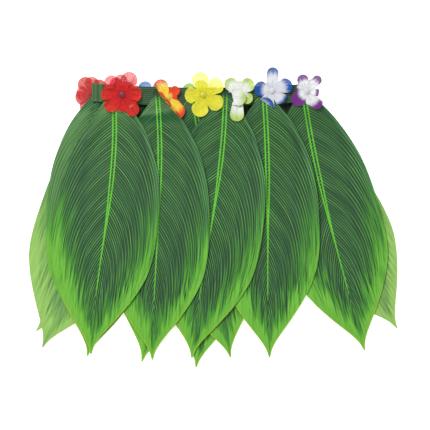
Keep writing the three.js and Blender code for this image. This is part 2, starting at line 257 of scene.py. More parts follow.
leaf = {
    "thickness": 0.45, "lift": 0.05, "alongSteps": 150, "acrossSteps": 44, "spread": (0.72, 0.28),
    "pulls": (1, 0.97, 0.9, 0.75, 0.5, 0), "easing": 36, "lastEasing": 3, "veinPitch": 3.3,
    "sideShift": 700, "leafShift": 1700, "bowAt": 0.3, "swayAt": 0.65,
    # half the width of the cut along the leaf, from the sewn base to the tip
    "cut": [(0, 3.5), (0.03, 8), (0.065, 17), (0.1, 27.5), (0.13, 35.5), (0.165, 43), (0.22, 52.5),
            (0.3, 63), (0.4, 69.5), (0.5, 72), (0.6, 72), (0.69, 66.5), (0.776, 52.5), (0.862, 32),
            (0.905, 20), (0.94, 10.5), (0.97, 4.2), (1, 0.8)],
    # how far a vein runs along for each millimetre out from the midrib, and how much more at the edge
    "veinRun": [(0, 0.62), (0.15, 0.72), (0.35, 0.95), (0.52, 1.3), (0.64, 1.9), (0.74, 2.9),
                (0.84, 4.4), (1, 6)],
    "veinBend": [(0, 0.05), (0.12, 0.18), (0.3, 0.5), (0.5, 0.85), (0.7, 1), (1, 1.1)],
    # share of the half width that the bright lower margin takes
    "limeShare": [(0, -0.6), (0.36, -0.22), (0.44, -0.03), (0.5, 0.06), (0.56, 0.15), (0.62, 0.27),
                  (0.7, 0.4), (0.79, 0.52), (0.86, 0.64), (0.92, 0.9), (1, 1.3)],
    "limeSides": (1.16, 0.86),
    # half the width of a midrib line along the leaf
    "ribWidth": [(0, 0.85), (0.2, 1.0), (0.4, 0.95), (0.55, 1.05), (0.68, 0.75), (0.78, 0.3), (0.8, -0.6),
                 (1, -0.8)],
    "ribApart": 2.4, "leastHalf": 0.6, "meanLength": 380,
    "puckers": 1.1, "puckersEnd": 0.16, "swell": 0.55, "swellAcross": 70, "swellAlong": 120,
    # how high the cut margins stand, left and right, from a share of the half width outwards
    "curl": (1.0, 2.4), "curlFrom": 0.8,
    # tone along a leaf, painted light and shade: above 0 painted light and sheen, below 0 painted shade in a
    # soft cross crease and at a folded base, a little aslant
    "tones": {
        "leaf_front_1": [(0, 0.4), (0.09, 0.4), (0.13, 0.16), (0.19, 0)],
        "leaf_front_2": [(0, 0.1), (0.06, 0.2), (0.086, 0.26), (0.098, -0.55), (0.12, -0.5), (0.138, 0)],
        "leaf_under_1": [(0, -0.5), (0.068, -0.5), (0.1, 0.36), (0.14, 0.46), (0.5, 0.5), (1, 0.4)],
    },
    "toneSlant": 0.12,
    "ribsFrom": {"leaf_under_1": 0.2},
}

# A crease starts at a share of the leaf's length and half width and runs at a turn from the leaf's own line
creaseColumns = ["along", "aside", "turn", "length", "width", "height"]
leafColumns = ["name", "x", "y", "length", "swing", "bow", "sway", "ribsMeet", "seed", "creases"]
backLeaves = table(leafColumns, [
    ["leaf_back_5", 58, -4, 363, 5.3, 0, 0, 0.5, 3.1,
     [[0.34, 0.3, 24, 70, 7, 0.9], [0.55, -0.4, -12, 90, 9, 0.7], [0.8, 0.2, 5, 40, 6, 0.6]]],
    ["leaf_back_2", -73, -4, 376, -25.1, 23.9, 25.8, 0.42, 5.7,
     [[0.5, -0.75, 9, 60, 6, 1.2], [0.68, -0.6, 26, 44, 6, 1.1], [0.83, -0.1, -14, 30, 5, 0.9]]],
    ["leaf_back_4", -1, -4, 392, -1.1, 0, 6, 0.55, 7.9,
     [[0.3, -0.4, -20, 60, 7, 0.8], [0.6, 0.4, 10, 90, 8, 0.8], [0.92, 0, 3, 20, 4, 0.7]]],
    ["leaf_back_1", -116, -4, 379, -16.5, 11, 11.5, 0.48, 11.3,
     [[0.46, -0.8, 7, 70, 6, 1.3], [0.62, -0.7, 22, 50, 6, 1.2], [0.76, -0.5, 40, 30, 5, 1],
      [0.25, -0.4, -24, 44, 6, 0.9]]],
    ["leaf_back_6", 105, 0, 380, 26.3, -17, -12, 0.5, 13.9,
     [[0.45, 0.7, -7, 80, 7, 1.2], [0.66, 0.7, -20, 60, 6, 1.1], [0.86, 0.2, 12, 30, 5, 0.9],
      [0.28, 0.5, 24, 50, 6, 0.8]]],
    ["leaf_back_3", -42, -4, 386, -6.3, 0, 6.8, 0.45, 17.2,
     [[0.36, 0.2, 16, 70, 7, 0.8], [0.7, -0.3, -14, 60, 7, 0.8], [0.93, 0, 0, 20, 4, 0.7]]],
])
turnedLeaves = table(leafColumns, [
    ["leaf_under_1", -143.5, -1, 379, -2.6, 2, 8.5, 0.5, 19.4,
     [[0.12, -0.5, -38, 40, 6, 1.4], [0.2, -0.75, -26, 50, 6, 1], [0.5, -0.4, -8, 70, 8, 0.7]]],
])
frontLeaves = table(leafColumns, [
    ["leaf_under_2", -14.4, -4, 381.5, 8.2, 0, -4.5, 0.5, 23.1,
     [[0.1, -0.3, -30, 26, 5, 1], [0.45, 0.3, 12, 80, 8, 0.7], [0.8, 0.1, -6, 40, 6, 0.6]]],
    ["leaf_front_5", 140, 1, 383, 13.3, -6, -5.2, 0.57, 29.6,
     [[0.14, 0.55, 34, 46, 5, 1.1], [0.28, 0.6, 17, 80, 8, 1], [0.5, 0.55, 4, 110, 10, 0.9],
      [0.2, -0.3, -22, 40, 6, 0.8], [0.72, 0.35, -16, 50, 7, 0.9], [0.84, -0.1, 10, 34, 5, 0.7]]],
    ["leaf_front_4", 85.4, -3, 379, 1.4, 3.5, 0.7, 0.55, 31.8,
     [[0.11, 0.45, 38, 34, 5, 1.1], [0.25, 0.5, 20, 70, 7, 0.9], [0.47, 0.6, 5, 110, 9, 0.9],
      [0.17, -0.4, -30, 30, 5, 0.9], [0.66, -0.3, -9, 70, 8, 0.8], [0.8, 0.25, 14, 40, 6, 0.8]]],
    ["leaf_front_3", 32.2, -4.2, 381.2, -7, 6.8, 2, 0.48, 37.7,
     [[0.1, 0.1, 82, 26, 4, -1.1], [0.15, 0.5, 32, 40, 5, 1], [0.33, 0.4, 14, 90, 8, 0.9],
      [0.24, -0.4, -20, 50, 6, 0.9], [0.58, 0.5, 3, 90, 9, 0.9], [0.75, -0.1, -12, 50, 6, 0.8]]],
    ["leaf_front_2", -63, -6, 379, -1, 6, 2.8, 0.5, 41.3,
     [[0.095, -0.1, 86, 34, 5, 2.8], [0.143, 0.1, 80, 30, 5, 1.9], [0.17, 0.45, 30, 44, 5, 1.1],
      [0.3, 0.45, 15, 90, 8, 1], [0.2, -0.35, -24, 44, 5, 0.9], [0.55, 0.55, 2, 100, 9, 0.9],
      [0.74, 0.1, -10, 50, 6, 0.8], [0.06, -0.5, 52, 16, 3, 0.9]]],
    ["leaf_front_1", -124.9, -2, 376, -4.7, 9.5, 3.2, 0.56, 43.9,
     [[0.13, -0.5, -34, 44, 5, 1.3], [0.22, -0.7, -22, 60, 6, 1.1], [0.4, -0.7, -5, 90, 8, 1.1],
      [0.15, 0.5, 34, 36, 5, 1.1], [0.3, 0.45, 16, 80, 8, 0.9], [0.6, -0.5, 12, 70, 7, 1],
      [0.7, 0.4, -16, 50, 7, 0.9], [0.84, 0, 4, 34, 5, 0.8]]],
])

# Colours of the print on its face and, paler, through the cloth's reverse. Both are painted dark where the
# leaf is sewn on: painted shade, narrow on the face, wide and near black on the reverse for the deep gaps
# between leaf bases by the waistband.
# Each look also holds a painted highlight colour and a painted crease shade, which a leaf's tone lays on.
satinFace = {
    "name": "transferPrintedSatin",
    "heart": "#315437", "shade": "#294730", "vein": "#5d9846", "groove": "#1a3220", "edge": "#44704a",
    "streak": "#3c7a2c", "lime": "#66a83a", "limeShade": "#47882f", "rib": "#5cb32f", "rim": "#9dbb2e",
    "root": "#16261b", "rootFrom": 0.015, "rootTo": 0.05, "paintedLight": "#6c9a5c", "crease": "#15502a",
    "roughness": 0.5,
}
satinReverse = {
    "name": "transferPrintedSatinReverse",
    "heart": "#618d57", "shade": "#55814d", "vein": "#80a75e", "groove": "#48713f", "edge": "#759d54",
    "streak": "#729d4a", "lime": "#89b45d", "limeShade": "#74a04e", "rib": "#8ab85c", "rim": "#98ae4d",
    "root": "#0b1410", "rootFrom": 0.13, "rootTo": 0.2, "paintedLight": "#8fb576", "crease": "#3a6a38",
    "roughness": 0.62,
}


# Polyester satin, print pressed in by heat: crisp narrow veins, soft edges to the broad colours, and the
# low even gloss of filament thread. Threads lie 0.3 mm apart and are drawn 0.9 mm apart, so that they show.
def printedSatin(look, threadPitch=0.9, threadRelief=0.00003):
    material, tree = newTree(look["name"])
    colours = {key: linear(value) for key, value in look.items() if str(value).startswith("#")}
    veins, cloth, prints, ribs, tones = [
        addNode(tree, "SeparateXYZ", [addNode(tree, "UVMap", uv_map=key)])
        for key in ("veinMap", "clothMap", "printMap", "ribMap", "toneMap")]
    family, share = veins.outputs[0], veins.outputs[1]
    across, along = cloth.outputs[0], cloth.outputs[1]
    lime, station = prints.outputs[0], prints.outputs[1]

    # streaks drawn out along the veins, 2 mm and 8 mm wide, and the clusters that the veins stand in; by
    # the tip they run along the leaf
    streakPlace = addNode(tree, "CombineXYZ", [family, along, 0.0])
    tipPlace = addNode(tree, "CombineXYZ", [across, along, 0.0])
    stretches = {"fine": (streakPlace, (0.5, 0.02, 0)), "broad": (streakPlace, (0.125, 0.009, 0)),
                 "cluster": (streakPlace, (0.11, 0.008, 0)), "tip": (tipPlace, (0.4, 0.024, 0))}
    noises = {}
    for key, (place, stretch) in stretches.items():
        drawn = addNode(tree, "VectorMath", [place, stretch], operation="MULTIPLY")
        noises[key] = addNode(tree, "TexNoise", {"Scale": 1, "Detail": 2, "Vector": drawn})
    nearTip = addNode(tree, "MapRange", [station, 0.6, 0.76, 0.0, 1.0], **softRamp)
    fine = addNode(tree, "Mix", [nearTip, noises["fine"], noises["tip"]])
    broad = noises["broad"]
    fineFrom = addNode(tree, "MapRange", [fine, 0.32, 0.68, 0.0, 1.0], **softRamp)
    broadFrom = addNode(tree, "MapRange", [broad, 0.35, 0.65, 0.0, 1.0], **softRamp)
    cluster = addNode(tree, "MapRange", [noises["cluster"], 0.4, 0.56, 0.5, 1.0], **softRamp)

    # one light and one dark line each pitch; where veins crowd, every second one fades out
    octave = addNode(tree, "Math", [tones.outputs[0]], operation="FLOOR")
    pastOctave = addNode(tree, "Math", [tones.outputs[0]], operation="FRACT")
    between = addNode(tree, "MapRange", [pastOctave, 0.2, 0.8, 0.0, 1.0], **softRamp)
    turns = addNode(tree, "Math", [family, 2 * math.pi / leaf["veinPitch"], broad], operation="MULTIPLY_ADD")
    thinning = addNode(tree, "Math", [0.5, octave], operation="POWER")
    phase = addNode(tree, "Math", [turns, thinning], operation="MULTIPLY")
    halfPhase = addNode(tree, "Math", [phase, 0.5], operation="MULTIPLY")
    wave = addNode(tree, "Mix", [between, addNode(tree, "Math", [phase], operation="SINE"),
                                 addNode(tree, "Math", [halfPhase], operation="SINE")])
    line = addNode(tree, "MapRange", [wave, 0.15, 0.9, 0.0, 0.9], **softRamp)
    strength = addNode(tree, "MapRange", [fine, 0.36, 0.6, 0.3, 1.0])
    drawnLine = addNode(tree, "Math", [line, strength], operation="MULTIPLY")
    veinMask = addNode(tree, "Math", [drawnLine, cluster], operation="MULTIPLY")
    dark = addNode(tree, "MapRange", [wave, -0.3, -0.9, 0.0, 0.75], **softRamp)
    grooveMask = addNode(tree, "Math", [dark, cluster], operation="MULTIPLY")

    # a smooth paler band on the upper margin, stronger on the right: the print's margin without veins,
    # lightened with painted sheen where the margin bends over its neighbour
    upper = addNode(tree, "MapRange", [station, 0.44, 0.6, 1.0, 0.0], **softRamp)
    nearEdge = addNode(tree, "MapRange", [share, 0.84, 0.93, 0.0, 1.0], **softRamp)
    rightSide = addNode(tree, "MapRange", [across, -4.0, 4.0, 0.2, 0.85])
    upperEdge = addNode(tree, "Math", [upper, nearEdge], operation="MULTIPLY")
    edgeSheenMask = addNode(tree, "Math", [upperEdge, rightSide], operation="MULTIPLY")
    lower = addNode(tree, "MapRange", [station, 0.3, 0.55, 0.0, 1.0], **softRamp)
    fineRag = addNode(tree, "Math", [fineFrom, 0.34, -0.17], operation="MULTIPLY_ADD")
    broadRag = addNode(tree, "Math", [broadFrom, 0.24, -0.12], operation="MULTIPLY_ADD")
    ragged = addNode(tree, "Math", [fineRag, broadRag], operation="ADD")
    reached = addNode(tree, "Math", [ragged, lower, lime], operation="MULTIPLY_ADD")
    streakMask = addNode(tree, "MapRange", [reached, -0.34, -0.02, 0.0, 0.85], **softRamp)
    shadeMask = addNode(tree, "MapRange", [reached, -0.08, 0.06, 0.0, 1.0], **softRamp)
    limeMask = addNode(tree, "MapRange", [reached, 0.04, 0.34, 0.0, 1.0], **softRamp)

    # two midrib lines that meet in one
    offset = addNode(tree, "Math", [across], operation="ABSOLUTE")
    apart = addNode(tree, "Math", [offset, ribs.outputs[0]], operation="SUBTRACT")
    fromLine = addNode(tree, "Math", [apart], operation="ABSOLUTE")
    fromRib = addNode(tree, "Math", [fromLine, ribs.outputs[1]], operation="SUBTRACT")
    ribMask = addNode(tree, "MapRange", [fromRib, -0.35, 0.35, 0.95, 0.0], **softRamp)

    # an olive rim 1.5 mm wide round the tip, by the distance to the edge; share keeps it off the midrib
    halfWidth = addNode(tree, "Math", [offset, share], operation="DIVIDE")
    inset = addNode(tree, "Math", [halfWidth, offset], operation="SUBTRACT")
    rimLine = addNode(tree, "MapRange", [inset, 0.6, 2.2, 0.68, 0.0], **softRamp)
    outerHalf = addNode(tree, "MapRange", [share, 0.4, 0.6, 0.0, 1.0])
    rimShare = addNode(tree, "Math", [rimLine, outerHalf], operation="MULTIPLY")
    rimRun = addNode(tree, "MapRange", [station, 0.76, 0.86, 0.0, 1.0])
    rimMask = addNode(tree, "Math", [rimShare, rimRun], operation="MULTIPLY")
    # painted shade at the sewn base, fading out along the leaf
    rootShadeMask = addNode(tree, "MapRange", [station, look["rootFrom"], look["rootTo"], 0.9, 0.0], **softRamp)

    # towards the tip the dark print breaks up into streaks
    tipRun = addNode(tree, "MapRange", [station, 0.76, 0.95, 0.0, 0.95], **softRamp)
    brokenUp = addNode(tree, "MapRange", [fineFrom, 0.0, 0.8, 0.25, 1.0])
    tipFade = addNode(tree, "Math", [tipRun, brokenUp], operation="MULTIPLY")
    streaks = addNode(tree, "Math", [streakMask, fineFrom], operation="MULTIPLY")
    colour = addNode(tree, "Mix", [broadFrom, colours["shade"], colours["heart"]], data_type="RGBA")
    # painted light and shade from the tone map: above 0 a painted highlight colour, below 0 painted shade in
    # a soft crease and at a folded base
    paintedLightMask = addNode(tree, "MapRange", [tones.outputs[1], 0.0, 1.0, 0.0, 1.0])
    paintedCreaseShadeMask = addNode(tree, "MapRange", [tones.outputs[1], 0.0, -1.0, 0.0, 1.0])
    layers = [(edgeSheenMask, "edge"), (paintedLightMask, "paintedLight"), (veinMask, "vein"), (grooveMask, "groove"),
              (paintedCreaseShadeMask, "crease"), (streaks, "streak"), (tipFade, "limeShade"), (shadeMask, "limeShade"),
              (limeMask, "lime"), (ribMask, "rib"), (rimMask, "rim"), (rootShadeMask, "root")]
    for mask, key in layers:
        colour = addNode(tree, "Mix", [mask, colour, colours[key]], data_type="RGBA")

    # the lime keeps a faint grain of the streaks
    grain = addNode(tree, "MapRange", [fine, 0.3, 0.7, 0.86, 1.12])
    colour = addNode(tree, "Mix", [1.0, colour, grain], data_type="RGBA", blend_type="MULTIPLY")

    threads = [addNode(tree, "Math", [place, 2 * math.pi / threadPitch], operation="MULTIPLY")
               for place in (across, along)]
    warp, weft = [addNode(tree, "Math", [thread], operation="SINE") for thread in threads]
    weave = addNode(tree, "Math", [warp, weft], operation="MULTIPLY")
    bump = addNode(tree, "Bump", {"Height": weave, "Strength": 0.5, "Distance": threadRelief})
    gloss = addNode(tree, "MapRange", [fine, 0.3, 0.7, look["roughness"] - 0.06, look["roughness"] + 0.06])
    addNode(tree, "OutputMaterial", {"Surface": addNode(tree, "BsdfPrincipled", {
        "Base Color": colour, "Roughness": gloss, "IOR": 1.5, "Specular IOR Level": 0.13,
        "Sheen Weight": 0.02, "Sheen Roughness": 0.4, "Normal": bump})})
    return material


def midribOf(row):
    swing = math.radians(row["swing"])
    down = np.array([math.sin(swing), -math.cos(swing)])
    aside = np.array([math.cos(swing), math.sin(swing)])
    # the midrib's offset is s (1 - s) (p + q s), which is zero at both ends
    atBow = row["bow"] / (leaf["bowAt"] * (1 - leaf["bowAt"]))
    atSway = row["sway"] / (leaf["swayAt"] * (1 - leaf["swayAt"]))
    q = (atSway - atBow) / (leaf["swayAt"] - leaf["bowAt"])
    p = atBow - leaf["bowAt"] * q

    def at(s):
        offset = s * (1 - s) * (p + q * s)
        return np.array([row["x"], row["y"]]) + np.outer(s * row["length"], down) + np.outer(offset, aside)
    return at


# Heights in millimetres of the creases, the gathers at the base and the slow swell of a leaf
def creaseHeights(row, s, half, offset):
    along = s * row["length"]
    total = np.zeros_like(offset)
    for crease in table(creaseColumns, row["creases"]):
        startHalf = float(smoothed(leaf["cut"], np.array([crease["along"]]))[0])
        turn = math.radians(crease["turn"])
        da = along - crease["along"] * row["length"]
        dx = offset - crease["aside"] * startHalf
        run = da * math.cos(turn) + dx * math.sin(turn)
        side = (dx * math.cos(turn) - da * math.sin(turn)) / crease["width"]
        side = side + 0.35 * np.sin(run / crease["length"] * 2.6 + row["seed"])
        fade = np.exp(-(run / crease["length"]) ** 4)
        total += crease["height"] * fade * (0.55 * np.exp(-side ** 2) + 0.45 * np.exp(-1.7 * np.abs(side)))
    share = offset / np.maximum(half, 1)
    gather = np.sin(8.2 * share + 2.2 * np.sin(2.7 * share + row["seed"]) + row["seed"])
    fade = smoothStep(s, 0.015, 0.05) * (1 - smoothStep(s, 0.07, leaf["puckersEnd"]))
    total += leaf["puckers"] * fade * (0.5 + 0.5 * gather)
    rise = np.where(offset < 0, *leaf["curl"]) * smoothStep(np.abs(share), leaf["curlFrom"], 1.02)
    uneven = 0.75 + 0.25 * np.sin(along / 31 + row["seed"]) * np.sin(along / 13 + 2 * row["seed"])
    total += rise * uneven * smoothStep(s, 0.05, 0.14) * (1 - smoothStep(s, 0.55, 0.82))
    swell = np.array([[noise.noise(Vector((x / leaf["swellAcross"], a / leaf["swellAlong"], row["seed"])))
                       for x, a in zip(offsets, distances)] for offsets, distances in zip(offset, along)])
    return total + leaf["swell"] * (0.5 + swell)


# Millimetres square to the veins, counted from vein to vein down the midrib, so that they keep their
# pitch: a place each millimetre, from above the base to past the tip
veinRoots = np.linspace(-300, 420, 721)
veinRise = np.hypot(1, smoothed(leaf["veinRun"], np.clip(veinRoots / leaf["meanLength"], 0, 1)))
veinPlaces = np.concatenate([[0], np.cumsum(1 / veinRise[1:])])


def addLeaf(row, index, over, under, restsOn):
    steps, spans = leaf["alongSteps"], leaf["acrossSteps"]
    s = np.linspace(0, 1, steps + 1)
    half = np.maximum(smoothed(leaf["cut"], s), leaf["leastHalf"])
    at = midribOf(row)
    centre, run = at(s), at(s + 0.01) - at(s - 0.01)
    run /= np.linalg.norm(run, axis=1)[:, None]
    # columns lie closer by the midrib
    share = np.linspace(-1, 1, spans + 1)
    share = leaf["spread"][0] * share + leaf["spread"][1] * share ** 3
    offset = half[:, None] * share[None, :]
    x = originX + (centre[:, :1] - offset * run[:, 1:]) * mm
    y = originY + (centre[:, 1:] + offset * run[:, :1]) * mm
    sGrid = np.repeat(s[:, None], spans + 1, 1)
    halfGrid = np.repeat(half[:, None], spans + 1, 1)

    # the underside of the leaf's solid, felt from below; a point past its edge is felt a little further in
    tree = solidTree(row["name"])
    base = np.zeros_like(x)
    for r in range(steps + 1):
        for c in range(spans + 1):
            for pull in leaf["pulls"]:
                place = Vector((x[r, spans // 2] + (x[r, c] - x[r, spans // 2]) * pull,
                                y[r, spans // 2] + (y[r, c] - y[r, spans // 2]) * pull, pile["below"]))
                hit = tree.ray_cast(place, Vector((0, 0, 1)))[0]
                if hit:
                    break
            base[r, c] = hit.z if hit else base[r - 1, c]
    base = eased(base, leaf["easing"]) + leaf["lift"] * mm
    wanted = base + creaseHeights(row, sGrid, halfGrid, offset) * mm
    least = pileUnder(x, y)
    least = np.where(least > 0, least + pile["gap"], leaf["lift"] * mm)
    z = softMax(wanted, least, pile["blend"])
    z = softMax(eased(z, leaf["lastEasing"]), least, pile["blend"] / 2)
    z = np.maximum(z, least)

    low = np.stack([x, y, z], 2)
    high = low + np.array([0, 0, leaf["thickness"] * mm])
    distance = sGrid * row["length"]
    aside = np.abs(offset)
    veinRun, veinBend = smoothed(leaf["veinRun"], sGrid), smoothed(leaf["veinBend"], sGrid)
    root = distance - veinRun * aside - veinBend * aside * share[None, :] ** 2
    family = np.interp(root, veinRoots, veinPlaces)
    wide = np.abs(share)[None, :] * np.ones_like(x)
    sides = np.where(offset < 0, *leaf["limeSides"])
    lime = smoothed(leaf["limeShare"], sGrid) * sides - (1 - wide)
    meet = row["ribsMeet"]
    gap = leaf["ribApart"] * (1 - smoothStep(sGrid, meet - 0.25, meet + 0.05))
    ribWidth = smoothed(leaf["ribWidth"], sGrid)
    if row["name"] in leaf["ribsFrom"]:
        start = leaf["ribsFrom"][row["name"]]
        ribWidth -= 3 * (1 - smoothStep(sGrid, start - 0.04, start))
    tone = np.interp(sGrid + leaf["toneSlant"] * offset / row["length"],
                     *np.array(leaf["tones"].get(row["name"], [(0, 0)])).T)
    # how many times closer than their pitch the veins would run, in doublings
    byShare, byRow = np.gradient(family, share, axis=1) / halfGrid, np.gradient(family, s, axis=0)
    widening = share[None, :] * np.gradient(half, s)[:, None]
    crowding = np.hypot(byShare, (byRow - byShare * widening) / row["length"])
    doublings = np.clip(np.log2(np.maximum(crowding, 1)), 0, 3)
    maps = {
        "clothMap": np.stack([offset, distance + leaf["leafShift"] * index], 2),
        "veinMap": np.stack([family + leaf["leafShift"] * index, wide], 2),
        "printMap": np.stack([lime, sGrid], 2),
        "ribMap": np.stack([gap, ribWidth], 2),
        "toneMap": np.stack([doublings, tone], 2),
    }
    piece = shell(row["name"] + "_cloth", high, low, [over, under], maps,
                  shifts=[("veinMap", spans / 2, leaf["sideShift"])])
    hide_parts(row["name"])
    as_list(restsOn)
    stampPiece(piece)
    return piece


# waistband

# Elastic woven with polyester over rubber: ribs along it, dull and dark, with painted shade in the grooves
# between the ribs and lighter specks of painted glint on fine thread ends
elasticLook = {"deep": "#1d3022", "thread": "#3a5a3b", "threadGlint": "#4b6842", "join": "#42683a",
               "threadPitch": 1.1, "roughness": 0.82}


def wovenElastic(look):
    material, tree = newTree("wovenElastic")
    place = addNode(tree, "SeparateXYZ", [addNode(tree, "UVMap", uv_map="bandMap")])
    ribs = addNode(tree, "SeparateXYZ", [addNode(tree, "UVMap", uv_map="ribMap")])
    along, across = place.outputs[0], place.outputs[1]
    threads = addNode(tree, "Math", [along, 2 * math.pi / look["threadPitch"]], operation="MULTIPLY")
    cross = addNode(tree, "Math", [threads], operation="SINE")
    closer = addNode(tree, "Math", [across, 2.0], operation="MULTIPLY")
    speckPlace = addNode(tree, "CombineXYZ", [along, closer, 0.0])
    speck = addNode(tree, "TexNoise", {"Vector": speckPlace, "Scale": 1.3, "Detail": 3, "Roughness": 0.7})
    patch = addNode(tree, "TexNoise", {"Vector": speckPlace, "Scale": 0.05, "Detail": 2})
    lit = addNode(tree, "MapRange", [ribs.outputs[0], -1.0, 0.7, 0.0, 1.0], **softRamp)
    colour = addNode(tree, "Mix", [lit, linear(look["deep"]), linear(look["thread"])], data_type="RGBA")
    # lighter specks: painted glint on fine thread ends
    threadGlint = addNode(tree, "MapRange", [speck, 0.45, 0.75, 0.0, 0.7])
    colour = addNode(tree, "Mix", [threadGlint, colour, linear(look["threadGlint"])], data_type="RGBA")
    dull = addNode(tree, "MapRange", [patch, 0.4, 0.7, 0.0, 0.35])
    colour = addNode(tree, "Mix", [dull, colour, linear(look["deep"])], data_type="RGBA")
    ribbed = addNode(tree, "Math", [lit, 0.5, 0.25], operation="MULTIPLY_ADD")
    atJoin = addNode(tree, "Math", [ribs.outputs[1], ribbed], operation="MULTIPLY")
    colour = addNode(tree, "Mix", [atJoin, colour, linear(look["join"])], data_type="RGBA")
    height = addNode(tree, "Math", [cross, speck], operation="MULTIPLY")
    bump = addNode(tree, "Bump", {"Height": height, "Strength": 0.8, "Distance": 0.00018})
    rough = addNode(tree, "MapRange", [speck, 0.3, 0.7, look["roughness"] - 0.06, look["roughness"] + 0.08])
    addNode(tree, "OutputMaterial", {"Surface": addNode(tree, "BsdfPrincipled", {
        "Base Color": colour, "Roughness": rough, "IOR": 1.45, "Specular IOR Level": 0.3,
        "Sheen Weight": 0.2, "Sheen Roughness": 0.5, "Normal": bump})})
    return material


def bandTop(x):
    return band["endRise"] - band["sag"] * (1 - (x / band["halfLength"]) ** 2)


# A loop: the back run, a fold, the front run, a fold, with ribs along it and, at the join, across it
def addBand():
    radius = (band["thickness"] + band["gap"]) / 2
    middle = bandLow.z / mm + band["thickness"] / 2 + radius
    straight = band["halfLength"] - radius - band["thickness"] / 2
    steps, folds = band["runSteps"], band["foldSteps"]
    stations = []
    for side in (1, -1):
        stations += [(side * straight * (2 * i / steps - 1), middle - side * radius, 0, -side)
                     for i in range(steps + 1)]
        for i in range(1, folds):
            angle = math.pi * (i / folds - 0.5)
            outX, outZ = side * math.cos(angle), side * math.sin(angle)
            stations.append((side * (straight + radius * math.cos(angle)),
                             middle + side * radius * math.sin(angle), outX, outZ))
    x, z, outX, outZ = np.array(stations).T
    length = np.concatenate([[0], np.cumsum(np.hypot(np.diff(x), np.diff(z)))])
    across = np.linspace(0, band["width"], band["acrossSteps"] + 1)
    edgeWave = band["edgeWave"] * np.sin(x / 17 + np.sign(outZ) * 1.3) * np.sin(x / 41)
    yGrid = (bandTop(x) + edgeWave)[None, :] - across[:, None]
    front = (outZ > 0.5)[None, :] * np.ones_like(yGrid)
    join = front * (smoothStep(x, band["joinTo"] - 1, band["joinTo"] + 0.5)
                    * (1 - smoothStep(x, band["joinFrom"] - 0.5, band["joinFrom"] + 0.5)))[None, :]
    lengthwise = np.cos(2 * np.pi * across / band["ribPitch"])[:, None] * np.ones_like(yGrid)
    crosswise = np.cos(2 * np.pi * x / band["ribPitch"])[None, :] * np.ones_like(yGrid)
    rib = lengthwise * (1 - join) + crosswise * join
    inside = smoothStep(np.minimum(across, band["width"] - across), 0, band["selvage"])[:, None]
    wall = band["thickness"] / 2
    reach = {1: wall - band["ribDepth"] * (0.5 - 0.5 * rib) - band["selvageDrop"] * (1 - inside),
             -1: -wall + band["selvageDrop"] * (1 - inside)}
    layers = {}
    for side, distance in reach.items():
        layers[side] = np.stack([
            originX + (x[None, :] + distance * outX[None, :]) * mm,
            originY + yGrid * mm,
            (z[None, :] + distance * outZ[None, :]) * mm], 2)
    maps = {
        "bandMap": np.stack(np.broadcast_arrays(length[None, :], across[:, None]), 2),
        "ribMap": np.stack([rib, join], 2),
    }
    piece = shell("waistband_elastic", layers[1], layers[-1], [wovenElastic(elasticLook)], maps, closed=True)
    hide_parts("waistband")
    return piece


# flowers

flowerCut = {
    "hole": 1.6, "notch": 0.5, "notchRoom": 4, "lobeShare": 0.985, "flat": 0.3,
    "rings": 17, "lobeSteps": 21, "sideSteps": 4, "thickness": 0.22, "crinkle": 0.5, "ruffle": 0.7,
    "petalShift": 40, "solidWall": 1, "stand": 0.4, "easing": 6, "pulls": (1, 0.97, 0.92, 0.8, 0.6),
}
petalColumns = ["angle", "reach", "half", "lift", "cup", "tint"]

